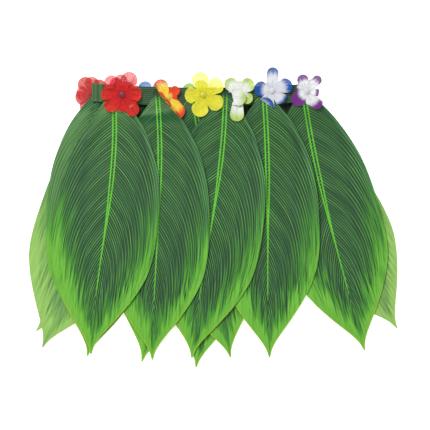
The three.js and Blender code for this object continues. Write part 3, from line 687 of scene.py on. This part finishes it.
# Sheer petals: colours from the heart to the tip, where the tip's colour starts, and how far it follows the
# rim instead of the tip; cover is the share of light that a petal stops
flowers = [
    {"name": "flower_red", "x": -111.6, "y": -14, "front": True, "seed": 1.7, "layers": [
        [[64, 34.5, 11.5, 8, 0.8, 0], [131, 32.5, 10.5, 8, 0.6, 0], [199, 24, 10, 4, 0.5, 0],
         [270, 24, 11, 6, 1, 0], [342, 24, 10, 4, 0.5, 0]],
        [[2, 27.5, 12, 14, 2.2, 0], [93, 29, 8.5, 32, 4.2, 0], [178, 29.5, 12, 14, 2, 0],
         [223, 31, 10.5, 8, 1.4, 0], [305, 35, 9.5, 10, 1.6, 0]]],
     "crinkle": 2.4, "notch": 0.64,
     "look": {"heart": "#b01622", "body": "#d61a1c", "tip": "#e22a22", "start": 0.2, "full": 0.9,
              "rim": 0.2, "cover": 0.8, "stud": "#7c3040"}},
    {"name": "flower_orange", "x": -47.6, "y": -18.5, "front": True, "seed": 4.1, "layers": [
        [[45, 21, 7, 20, 1, 0.5], [122, 29, 10.5, 24, 4, 0], [192, 22, 10, 8, 0.6, 0.22],
         [243, 22, 10, 8, 0.6, 0.22], [304, 33.5, 12, 14, 3, 0.06]]],
     "notch": 0.62, "folds": [{"towards": 218.5, "from": 4.2, "arcs": [(3.4, 96), (5, 4), (5, 16)]}],
     "look": {"heart": "#fbe95a", "body": "#fbdc46", "tip": "#ee4a20", "start": 0.62, "full": 0.97,
              "rim": 0.55, "cover": 0.93, "stud": "#e6c544"}},
    {"name": "flower_yellow", "x": 1.8, "y": -14.8, "front": True, "seed": 6.6, "layers": [
        [[37, 32.8, 12, 10, 1, 0], [101, 32.8, 12, 10, 1, 0], [180, 26, 12, 12, 1.2, 0],
         [257, 30.8, 12, 8, 0.8, 0], [329, 30.8, 12, 8, 1, 0]]],
     "look": {"heart": "#e4e024", "body": "#f4ee32", "tip": "#f6f048", "start": 0.3, "full": 0.9,
              "rim": 0.4, "cover": 0.8, "stud": "#c9c64a"}},
    {"name": "flower_lime", "x": 51.8, "y": -13, "front": True, "seed": 9.2, "layers": [
        [[46, 27, 10, 16, 2.4, 0.12], [130, 27, 9.5, 16, 2.4, 0.04], [205, 31, 11.5, 8, 0.6, -0.06],
         [264, 38.5, 9.8, 6, 2, 0.03], [332, 21, 8, 20, 1.4, 0.2]]],
     "folds": [{"petals": [205], "towards": 190, "from": 8.2, "arcs": [(4.6, 160), (3, 8)]}],
     "look": {"heart": "#e4e9e2", "body": "#eff2ee", "tip": "#bcd86c", "start": 0.56, "full": 0.96,
              "rim": 0.12, "cover": 0.94, "stud": "#dfe6d2"}},
    {"name": "flower_blue", "x": 98, "y": -8.6, "front": True, "seed": 12.8, "layers": [
        [[20, 29.5, 11, 16, 2, 0.02], [88, 33, 8.2, 12, 2, -0.04], [170, 25.6, 10.5, 18, 3.4, 0.14],
         [247, 31, 12, 8, 1.2, -0.06], [317, 23, 10, 20, 2.4, -0.12]]],
     "folds": [{"petals": [247], "towards": 235, "from": 18.5, "arcs": [(4.2, 156), (3, 12)]}],
     "look": {"heart": "#d3d6de", "body": "#e0e3e9", "tip": "#0551a6", "start": 0.54, "full": 0.87,
              "rim": 0.12, "cover": 0.94, "stud": "#d8dade"}},
    {"name": "flower_purple", "x": 146.6, "y": -9.5, "front": True, "seed": 15.5, "layers": [
        [[48, 28, 6.6, 20, 1.6, 0], [110, 25, 8, 18, 2, 0.02], [221, 26.5, 10, 12, 1.6, 0.24],
         [309, 29.5, 8.5, 12, 1.6, 0], [352, 19, 6.5, 62, 2, 0]]],
     "notch": 0.62,
     "look": {"heart": "#e2e2e6", "body": "#edeef2", "tip": "#76298a", "start": 0.56, "full": 0.82,
              "rim": 0.05, "cover": 0.94, "stud": "#d6d6da"}},
    {"name": "flower_fold", "x": -152.6, "y": -14, "front": False, "seed": 18.3, "layers": [
        [[54, 25, 11, 0, 0, 0], [126, 29.5, 11, 0, 0, 0], [190, 25.5, 12, 0, 0, 0], [268, 25, 11, 0, 0, 0],
         [340, 25, 11, 0, 0, 0]],
        [[25, 24, 10, 0, 0, 0], [97, 26, 10.5, 0, 0, 0], [169, 24, 11, 0, 0, 0], [241, 28, 10.5, 0, 0, 0],
         [313, 24, 10, 0, 0, 0]]],
     "look": {"heart": "#a81c22", "body": "#c8201e", "tip": "#d42a24", "start": 0.2, "full": 0.9,
              "rim": 0.2, "cover": 0.8, "stud": "#7c3040"}},
]
pressedFlowers = [
    ["flower_back_magenta", -116.2, -12, 35, "#c8307c", "#e0509c", 21.1],
    ["flower_back_blue", -74.2, -16.8, 112, "#c8d8ee", "#2f78cc", 24.7],
    ["flower_back_lime", -7, -15.4, 140, "#c2d84a", "#8fc02c", 27.5],
    ["flower_back_white", 51.8, -17, 90, "#eef0ec", "#d5e0c0", 30.2],
    ["flower_back_purple", 98, -17, 90, "#e6e2ea", "#9a50b0", 33.9],
]
for name, x, y, first, heart, tip, seed in pressedFlowers:
    rows = sorted([(first + 72 * i) % 360, 23.5, 9.5, 0, 0, 0] for i in range(5))
    flowers.append({
        "name": name, "x": x, "y": y, "front": False, "seed": seed, "layers": [rows],
        "look": {"heart": heart, "body": heart, "tip": tip, "start": 0.3, "full": 0.9, "rim": 0.2,
                 "cover": 0.8, "stud": heart},
    })


# Polyester organza, dyed and heat set: threads so open that what lies behind shows through, a fine crinkle
# from the middle outwards, and a soft sheen. Threads 0.2 mm apart are drawn 0.8 mm apart, so that they show.
def sheerOrganza(name, look, threadPitch=0.8):
    material, tree = newTree(name)
    paint = addNode(tree, "SeparateXYZ", [addNode(tree, "UVMap", uv_map="paintMap")])
    petal = addNode(tree, "SeparateXYZ", [addNode(tree, "UVMap", uv_map="petalMap")])
    aside, along = petal.outputs[0], petal.outputs[1]
    drawnOut = addNode(tree, "Math", [along, 0.14], operation="MULTIPLY")
    drawn = addNode(tree, "CombineXYZ", [aside, drawnOut, 0.0])
    crinkle = addNode(tree, "TexNoise", {"Vector": drawn, "Scale": 0.5, "Detail": 2.5, "Roughness": 0.55})
    cloud = addNode(tree, "TexNoise", {"Vector": addNode(tree, "CombineXYZ", [aside, along, 0.0]),
                                       "Scale": 0.16, "Detail": 2})
    crept = addNode(tree, "Math", [crinkle, 0.3, -0.15], operation="MULTIPLY_ADD")
    bleed = addNode(tree, "Math", [crept, paint.outputs[0]], operation="ADD")
    dip = addNode(tree, "MapRange", [bleed, look["start"], look["full"], 0.0, 1.0], **softRamp)
    heart = addNode(tree, "MapRange", [paint.outputs[1], 0.05, 0.34, 1.0, 0.0], **softRamp)
    colour = addNode(tree, "Mix", [dip, linear(look["body"]), linear(look["tip"])], data_type="RGBA")
    colour = addNode(tree, "Mix", [heart, colour, linear(look["heart"])], data_type="RGBA")
    mottle = addNode(tree, "Math", [crinkle, cloud], operation="ADD")
    shade = addNode(tree, "MapRange", [mottle, 0.7, 1.3, 0.86, 1.06])
    colour = addNode(tree, "Mix", [1.0, colour, shade], data_type="RGBA", blend_type="MULTIPLY")
    threads = [addNode(tree, "Math", [place, 2 * math.pi / threadPitch], operation="MULTIPLY")
               for place in (aside, along)]
    warp, weft = [addNode(tree, "Math", [thread], operation="SINE") for thread in threads]
    woven = addNode(tree, "Math", [warp, weft], operation="MULTIPLY")
    relief = addNode(tree, "Math", [woven, 0.06, crinkle], operation="MULTIPLY_ADD")
    bump = addNode(tree, "Bump", {"Height": relief, "Strength": 0.9, "Distance": 0.002})
    # each petal is a shell of two faces, so one face stops less than the whole
    oneFace = 1 - math.sqrt(1 - look["cover"])
    cover = addNode(tree, "MapRange", [crinkle, 0.3, 0.7, oneFace - 0.05, oneFace + 0.05])
    addNode(tree, "OutputMaterial", {"Surface": addNode(tree, "BsdfPrincipled", {
        "Base Color": colour, "Roughness": 0.6, "IOR": 1.45, "Specular IOR Level": 0.35, "Alpha": cover,
        "Sheen Weight": 0.12, "Sheen Roughness": 0.45, "Normal": bump})})
    return material


# The outline of a petal in polar form about the flower's middle: a round lobe on straight sides
def petalRadius(petal, turn):
    lobe = petal["reach"] - petal["half"]
    return lobe * math.cos(turn) + math.sqrt(max(petal["half"] ** 2 - (lobe * math.sin(turn)) ** 2, 0))


# The flower's outline, ray by ray: the petal that a ray bends with, its turn from that petal, its radius,
# its lift, how far it has come from the notch towards the lobe, and the petal across that notch
def petalRays(petals, notchShare=flowerCut["notch"]):
    rays = []
    for k, petal in enumerate(petals):
        before, after = petals[k - 1], petals[(k + 1) % len(petals)]
        gapBefore = (petal["angle"] - before["angle"]) % 360
        gapAfter = (after["angle"] - petal["angle"]) % 360
        notches = [notchShare * min(petal["reach"], other["reach"]) for other in (before, after)]
        widest = math.degrees(math.asin(min(petal["half"] / (petal["reach"] - petal["half"]), 1)))
        spread = min(flowerCut["lobeShare"] * widest, min(gapBefore, gapAfter) / 2 - flowerCut["notchRoom"])
        edge = petalRadius(petal, math.radians(spread))
        corner = [edge * math.cos(math.radians(spread)), edge * math.sin(math.radians(spread))]
        sides = []
        for gap, notch, sign in ((gapBefore, notches[0], -1), (gapAfter, notches[1], 1)):
            half = math.radians(gap / 2)
            start = (notch * math.cos(half), sign * notch * math.sin(half))
            end = (corner[0], sign * corner[1])
            steps = flowerCut["sideSteps"]
            line = []
            for i in range(steps):
                t = i / steps
                px, py = (start[j] + (end[j] - start[j]) * t for j in (0, 1))
                line.append((math.degrees(math.atan2(py, px)), math.hypot(px, py), t))
            sides.append(line)
        for turn, radius, t in sides[0]:
            lift = 0.5 * (petal["lift"] + before["lift"]) * (1 - t) + petal["lift"] * t
            rays.append((petal, turn, radius, lift, t, before))
        count = flowerCut["lobeSteps"]
        for i in range(count):
            turn = spread * (2 * i / (count - 1) - 1)
            rays.append((petal, turn, petalRadius(petal, math.radians(turn)), petal["lift"], 1, petal))
        for turn, radius, t in reversed(sides[1][1:]):
            lift = 0.5 * (petal["lift"] + after["lift"]) * (1 - t) + petal["lift"] * t
            rays.append((petal, turn, radius, lift, t, after))
    return rays


# A flower's layer as a grid about its own middle: points, colour places and petal places
def flowerGrid(flower, petals, seed):
    look, crinkle = flower["look"], flower.get("crinkle", flowerCut["crinkle"])
    rays = petalRays(petals, flower.get("notch", flowerCut["notch"]))
    shares = np.linspace(0, 1, flowerCut["rings"])
    points = np.zeros((len(shares), len(rays), 3))
    paint = np.zeros((len(shares), len(rays), 2))
    places = np.zeros((len(shares), len(rays), 2))
    for c, (petal, turnDegrees, reach, lift, _, _) in enumerate(rays):
        base, turn = math.radians(petal["angle"]), math.radians(turnDegrees)
        flat = flowerCut["flat"] * petal["reach"]
        bend = max(math.radians(lift), 1e-4) / (petal["reach"] - flat)
        for r, share in enumerate(shares):
            radius = flowerCut["hole"] + share * (reach - flowerCut["hole"])
            alongFlat, aside = radius * math.cos(turn), radius * math.sin(turn)
            past = max(alongFlat - flat, 0)
            along = min(alongFlat, flat) + math.sin(bend * past) / bend
            height = (1 - math.cos(bend * past)) / bend
            out = radius / petal["reach"]
            across = aside / petal["half"]
            height += petal["cup"] * across ** 2 * smoothStep(out, 0.3, 0.9)
            phase = seed + petal["angle"]
            if petal["lift"] > 0:
                ripple = math.sin(across * 4.6 + phase) + 0.6 * math.sin(across * 8.3 - phase)
                height += crinkle * ripple * smoothStep(out, 0.15, 0.7) * 0.5
                height += flowerCut["ruffle"] * math.sin(turnDegrees / 6.5 + phase) * share ** 5 * 0.6
            points[r, c] = (along * math.cos(base) - aside * math.sin(base),
                            along * math.sin(base) + aside * math.cos(base), height)
            tip = look["rim"] * share + (1 - look["rim"]) * out
            paint[r, c] = (tip + petal["tint"], out)
            places[r, c] = (aside + flowerCut["petalShift"] * petals.index(petal), radius)
    # a fold turns up the petals it names, or all, and eases off towards a neighbour that stays flat
    for fold in flower.get("folds", []):
        turned = fold.get("petals", [petal["angle"] for petal in petals])
        share = [petal["angle"] in turned and (1 if other["angle"] in turned else t)
                 for petal, _, _, _, t, other in rays]
        share = smoothStep(np.array(share, float), 0, 1)[None, :, None]
        points = points + (folded(points, fold) - points) * share
    return points, paint, places


# Turns up what lies beyond a straight line, along arcs of the sheet's own length
def folded(points, fold):
    heading = math.radians(fold["towards"])
    out = np.array([math.cos(heading), math.sin(heading)])
    distance = points[..., :2] @ out
    past = np.maximum(distance - fold["from"], 0)
    reach, height = np.zeros_like(past), np.zeros_like(past)
    angle = np.zeros_like(past)
    left, before = past.copy(), 0.0
    for length, turn in [*fold["arcs"], (1e3, 0.01)]:
        bit = np.minimum(left, length)
        rate = math.radians(turn) / length
        after = before + rate * bit
        reach += (np.sin(after) - math.sin(before)) / rate
        height += (math.cos(before) - np.cos(after)) / rate
        angle = np.where(bit > 0, after, angle)
        left, before = left - bit, before + rate * length
    lift = points[..., 2]
    result = points.copy()
    moved = np.minimum(distance, fold["from"]) + reach - np.sin(angle) * lift
    result[..., :2] += (moved - distance)[..., None] * out
    result[..., 2] = height + np.cos(angle) * lift
    return result


# Unit normals of a grid whose last column joins its first
def normalsOf(points):
    alongRows = np.gradient(points, axis=0)
    before, after = np.roll(points, 1, 1), np.roll(points, -1, 1)
    normal = np.cross(alongRows, after - before)
    return normal / np.maximum(np.linalg.norm(normal, axis=2), 1e-12)[..., None]


def layerName(flower, i):
    return flower["name"] + (f"_layer_{i + 1}" if len(flower["layers"]) > 1 else "")


# Front flowers stand as their solids do; flowers at the back are pressed flat within theirs
def addFlower(flower):
    material = sheerOrganza(flower["name"] + "_organza", flower["look"])
    for i, rows in enumerate(flower["layers"]):
        node = layerName(flower, i)
        petals = table(petalColumns, rows)
        points, paint, places = flowerGrid(flower, petals, flower["seed"] + i)
        points[..., 0] += flower["x"]
        points[..., 1] += flower["y"]
        x, y = originX + points[..., 0] * mm, originY + points[..., 1] * mm
        if flower["front"]:
            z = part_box(node)[0].z + (points[..., 2] + flowerCut["stand"]) * mm
            z = softMax(z, pileUnder(x, y) + 2 * pile["gap"], pile["blend"])
        else:
            tree, inside = solidTree(node), flowerCut["solidWall"] / 2 * mm
            centre = Vector((originX + flower["x"] * mm, originY + flower["y"] * mm, pile["above"]))
            z = np.zeros_like(x)
            for place in np.ndindex(x.shape):
                start = Vector((x[place], y[place], pile["above"]))
                for pull in flowerCut["pulls"]:
                    hit = tree.ray_cast(centre + (start - centre) * pull, Vector((0, 0, -1)))[0]
                    if hit:
                        break
                z[place] = hit.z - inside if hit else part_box(node)[0].z + inside
            z = eased(z, flowerCut["easing"])
        middle = np.stack([x, y, z], 2)
        normal = normalsOf(middle)
        half = flowerCut["thickness"] / 2 * mm
        piece = shell(node + "_petals", middle + normal * half, middle - normal * half, [material],
                      {"paintMap": paint, "petalMap": places}, closed=True)
        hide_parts(node)
        reach = 2 * max(row[1] for row in rows) * mm
        sheetArea(rows)


# Area of the cut of a layer of petals, laid flat
def sheetArea(rows):
    flatRows = [[*row[:3], 0, 0, 0] for row in rows]
    rays = petalRays(table(petalColumns, flatRows))
    places = [(ray[0]["angle"] + ray[1], ray[2]) for ray in rays]
    total = 0
    for (a, p), (b, q) in zip(places, places[1:] + places[:1]):
        total += p * q * math.sin(math.radians((b - a) % 360)) / 2
    return total * mm ** 2


# studs

# Polystyrene, moulded clear and lightly frosted: a low dome on a rim that takes on the petals' colour
studLook = {"roughness": 0.42, "cover": 0.7, "sides": 40}
# Radius and height, from the foot of the pin to the crown; the pin is as long as its solid's
studProfile = [(0, -1.2), (0.9, -1.2), (0.9, 0), (3.6, 0), (3.95, 0.2), (4, 0.5), (3.7, 0.85),
               (3.2, 1.15), (2.9, 1.1), (2.6, 1.3), (2.1, 1.9), (1.3, 2.25), (0.5, 2.38), (0, 2.4)]


def frostedPolystyrene(name, colour):
    material, tree = newTree(name + "_polystyrene")
    place = addNode(tree, "TexCoord")
    scuff = addNode(tree, "TexNoise", {"Vector": place.outputs["Object"], "Scale": 900, "Detail": 3})
    tone = addNode(tree, "MapRange", [scuff, 0.35, 0.65, 0.85, 1.1])
    colour = addNode(tree, "Mix", [1.0, linear(colour), tone], data_type="RGBA", blend_type="MULTIPLY")
    bump = addNode(tree, "Bump", {"Height": scuff, "Strength": 0.3, "Distance": 0.0001})
    addNode(tree, "OutputMaterial", {"Surface": addNode(tree, "BsdfPrincipled", {
        "Base Color": colour, "Roughness": studLook["roughness"], "IOR": 1.59, "Specular IOR Level": 0.35,
        "Alpha": studLook["cover"], "Normal": bump})})
    return material


def addStud(flower):
    node = flower["name"] + "_stud"
    material = frostedPolystyrene(node, flower["look"]["stud"])
    low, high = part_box(node)
    side = 1 if flower["front"] else -1
    crown = studProfile[-1][1]
    seat = high.z - crown * mm if flower["front"] else low.z + crown * mm
    pin = (high.z - low.z) / mm - crown
    points, faces = [], []
    sides = studLook["sides"]
    for radius, height in studProfile:
        if height < 0:
            height = -pin
        for i in range(sides if radius else 1):
            angle = 2 * math.pi * i / sides
            points.append(((low.x + high.x) / 2 + radius * math.cos(angle) * mm,
                           (low.y + high.y) / 2 + radius * math.sin(angle) * mm, seat + side * height * mm))
    rings = [1 + sides * k for k in range(len(studProfile) - 2)]
    last = len(points) - 1
    for i in range(sides):
        j = (i + 1) % sides
        faces.append((0, rings[0] + j, rings[0] + i))
        for a, b in zip(rings, rings[1:]):
            faces.append((a + i, a + j, b + j, b + i))
        faces.append((last, rings[-1] + i, rings[-1] + j))
    if side < 0:
        faces = [face[::-1] for face in faces]
    mesh = bpy.data.meshes.new(node + "_dome")
    mesh.from_pydata(points, [], faces)
    mesh.materials.append(material)
    piece = placed(node + "_dome", mesh)
    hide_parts(node)


# sewing thread

# Spun polyester thread, two plies twisted together: dull, with a rope's slanting dips. It is 0.3 mm thick and
# drawn 0.5 mm thick, so that it shows.
threadLook = {
    "ply": "#3a6a3c", "dip": "#1b3521", "roughness": 0.7, "thickness": 0.5, "twist": 1.3, "sides": 6,
    "tackWide": 7, "tackLong": 2.4, "tackTurns": 11, "tackAt": 6, "bow": 0.3,
    "stitch": 2.6, "stitchGap": 0.8, "seams": (-138.4, -150.6), "seamInset": 1.2,
}


def spunThread(look):
    material, tree = newTree("spunPolyesterThread")
    place = addNode(tree, "SeparateXYZ", [addNode(tree, "UVMap", uv_map="threadMap")])
    twist = addNode(tree, "Math", [place.outputs[0], 2 * math.pi / look["twist"]], operation="MULTIPLY")
    turns = addNode(tree, "Math", [place.outputs[1], 4 * math.pi, twist], operation="MULTIPLY_ADD")
    plies = addNode(tree, "Math", [turns], operation="SINE")
    ply = addNode(tree, "MapRange", [plies, -1.0, 0.4, 0.0, 1.0])
    colour = addNode(tree, "Mix", [ply, linear(look["dip"]), linear(look["ply"])], data_type="RGBA")
    bump = addNode(tree, "Bump", {"Height": ply, "Strength": 0.7, "Distance": 0.0001})
    addNode(tree, "OutputMaterial", {"Surface": addNode(tree, "BsdfPrincipled", {
        "Base Color": colour, "Roughness": look["roughness"], "IOR": 1.5, "Specular IOR Level": 0.2,
        "Normal": bump})})
    return material


# A thread laid over a piece's surface through places in x and y, a little proud between each two of them
def laidThread(tree, places, side):
    points = []
    for (x0, y0), (x1, y1) in zip(places, places[1:]):
        for t in (0, 0.25, 0.5, 0.75):
            x, y = x0 + (x1 - x0) * t, y0 + (y1 - y0) * t
            start = Vector((x, y, pile["above"] if side > 0 else pile["below"]))
            hit = tree.ray_cast(start, Vector((0, 0, -side)))[0]
            if hit:
                rise = threadLook["thickness"] / 2 + threadLook["bow"] * math.sin(math.pi * t)
                points.append((x, y, hit.z + side * rise * mm))
    return np.array(points)


def addThread(laid, elastic):
    lines = []
    for row in backLeaves + turnedLeaves + frontLeaves:
        at, swing = midribOf(row), math.radians(row["swing"])
        places = []
        for k in range(threadLook["tackTurns"] + 1):
            down = (threadLook["tackAt"] + threadLook["tackLong"] * (k % 2)) / row["length"]
            aside = threadLook["tackWide"] * (k / threadLook["tackTurns"] - 0.5)
            x, y = at(np.array([down]))[0] + aside * np.array([math.cos(swing), math.sin(swing)])
            places.append((originX + x * mm, originY + y * mm))
        lines.append(laidThread(pieceTree(laid[row["name"]]), places, -1 if row in backLeaves else 1))
    pitch = threadLook["stitch"] + threadLook["stitchGap"]
    tree = pieceTree(elastic)
    for x in threadLook["seams"]:
        top = bandTop(x) - threadLook["seamInset"]
        for k in range(int((band["width"] - 2 * threadLook["seamInset"]) / pitch)):
            ends = [(originX + x * mm, originY + (top - k * pitch - part) * mm)
                    for part in (0, threadLook["stitch"])]
            lines.append(laidThread(tree, ends, 1))
    points, faces, spots = [], [], []
    sides, radius = threadLook["sides"], threadLook["thickness"] / 2 * mm
    for line in lines:
        if len(line) < 3:
            continue
        run = np.gradient(line, axis=0)
        run /= np.linalg.norm(run, axis=1)[:, None]
        across = np.cross(run, (0, 0, 1))
        across /= np.linalg.norm(across, axis=1)[:, None]
        over = np.cross(across, run)
        length = np.concatenate([[0], np.cumsum(np.linalg.norm(np.diff(line, axis=0), axis=1))]) / mm
        first = len(points)
        for i in range(len(line)):
            for k in range(sides):
                turn = 2 * math.pi * k / sides
                points.append(line[i] + radius * (math.cos(turn) * across[i] + math.sin(turn) * over[i]))
        for i in range(len(line) - 1):
            for k in range(sides):
                a, b = first + i * sides + k, first + i * sides + (k + 1) % sides
                faces.append((a, b, b + sides, a + sides))
                spots += [(length[i + j], (k + e) / sides) for j, e in ((0, 0), (0, 1), (1, 1), (1, 0))]
        last = first + (len(line) - 1) * sides
        faces += [tuple(range(first, first + sides))[::-1], tuple(range(last, last + sides))]
        spots += [(0, 0)] * 2 * sides
    mesh = bpy.data.meshes.new("sewing_thread")
    mesh.from_pydata([tuple(point) for point in points], [], faces)
    mesh.materials.append(spunThread(threadLook))
    layer = mesh.uv_layers.new(name="threadMap")
    layer.uv.foreach_set("vector", np.array(spots, np.float32).ravel())
    piece = placed("sewing_thread", mesh)


# building, from the floor up

face, reverse = printedSatin(satinFace), printedSatin(satinReverse)

for flower in flowers:
    if not flower["front"]:
        for i in range(len(flower["layers"])):
            stampNode(layerName(flower, i))
        stampNode(flower["name"] + "_stud")
print("back flowers stamped")

# the two middle back leaves are sewn on print up
laid = {}
for row in backLeaves:
    sides = (face, reverse) if row["name"] in ("leaf_back_3", "leaf_back_4") else (reverse, face)
    under = ["leaf_back_5_cloth", "leaf_back_2_cloth"] if len(laid) > 1 else ["floor"]
    laid[row["name"]] = addLeaf(row, len(laid), *sides, under)
for row in turnedLeaves:
    laid[row["name"]] = addLeaf(row, len(laid), face, reverse, ["leaf_back_1_cloth", "leaf_back_2_cloth"])
print("back leaves laid")
elastic = addBand()
stampNode("waistband")
print("waistband laid")
for row in frontLeaves:
    laid[row["name"]] = addLeaf(row, len(laid), face, reverse, ["waistband_elastic"])
print("front leaves laid")
addThread(laid, elastic)
print("leaves tacked and elastic joined")
for flower in flowers:
    addFlower(flower)
    addStud(flower)
print("flowers set")


# floor, light and camera

studio = {
    "floor": "#f7f7f5", "floorSize": 12, "floorLevel": -1e-4, "glow": 0.6, "worldStrength": 0.42,
    "worldColour": "#ffffff", "cameraHeight": 3.4, "fieldWidth": 0.602, "sensor": 36,
    "aimX": 2.5, "aimY": 3.8, "aimZ": 7,
}
lights = table(["name", "place", "size", "power"], [
    ["key", (-0.75, 1.15, 1.7), 0.8, 48],
    ["fill", (1.2, -0.5, 1.8), 1.8, 10],
])


# Pale matte board, lit a little from behind as on a light table, so that shadows on it stay faint
def addFloor():
    material, tree = newTree("matteFloor")
    place = addNode(tree, "TexCoord")
    grain = addNode(tree, "TexNoise", {"Vector": place.outputs["Object"], "Scale": 40, "Detail": 3})
    tone = addNode(tree, "MapRange", [grain, 0.3, 0.7, 0.99, 1.0])
    colour = addNode(tree, "Mix", [1.0, linear(studio["floor"]), tone], data_type="RGBA",
                     blend_type="MULTIPLY")
    addNode(tree, "OutputMaterial", {"Surface": addNode(tree, "BsdfPrincipled", {
        "Base Color": colour, "Roughness": 0.9, "Specular IOR Level": 0.1,
        "Emission Color": linear(studio["floor"]), "Emission Strength": studio["glow"]})})
    half, level = studio["floorSize"] / 2, studio["floorLevel"]
    corners = [(-half, -half, level), (half, -half, level), (half, half, level), (-half, half, level)]
    mesh = bpy.data.meshes.new("floor")
    mesh.from_pydata(corners, [], [(0, 1, 2, 3)])
    mesh.materials.append(material)
    floor = bpy.data.objects.new("floor", mesh)
    bpy.context.scene.collection.objects.link(floor)


def addLights():
    for row in lights:
        lamp = bpy.data.lights.new(row["name"], "AREA")
        lamp.size, lamp.energy = row["size"], row["power"]
        light = bpy.data.objects.new(row["name"], lamp)
        light.location = row["place"]
        light.rotation_euler = (-Vector(row["place"])).to_track_quat("-Z", "Y").to_euler()
        bpy.context.scene.collection.objects.link(light)
    world = bpy.data.worlds.new("studio")
    bpy.context.scene.world = world
    world.use_nodes = True
    background = world.node_tree.nodes["Background"]
    background.inputs["Color"].default_value = linear(studio["worldColour"])
    background.inputs["Strength"].default_value = studio["worldStrength"]


def addCamera():
    data = bpy.data.cameras.new("camera")
    data.sensor_width = studio["sensor"]
    distance = studio["cameraHeight"] - studio["aimZ"] * mm
    data.lens = studio["sensor"] * distance / studio["fieldWidth"]
    camera = bpy.data.objects.new("camera", data)
    camera.location = (studio["aimX"] * mm, studio["aimY"] * mm, studio["cameraHeight"])
    bpy.context.scene.collection.objects.link(camera)
    bpy.context.scene.camera = camera


addFloor()
addLights()
addCamera()
bpy.context.scene.cycles.transparent_max_bounces = 24  # sheer petals lie many faces deep
bpy.context.scene.view_settings.view_transform = "Standard"
bpy.context.scene.view_settings.look = "None"
print("floor, light and camera set")

bpy.context.view_layer.update()
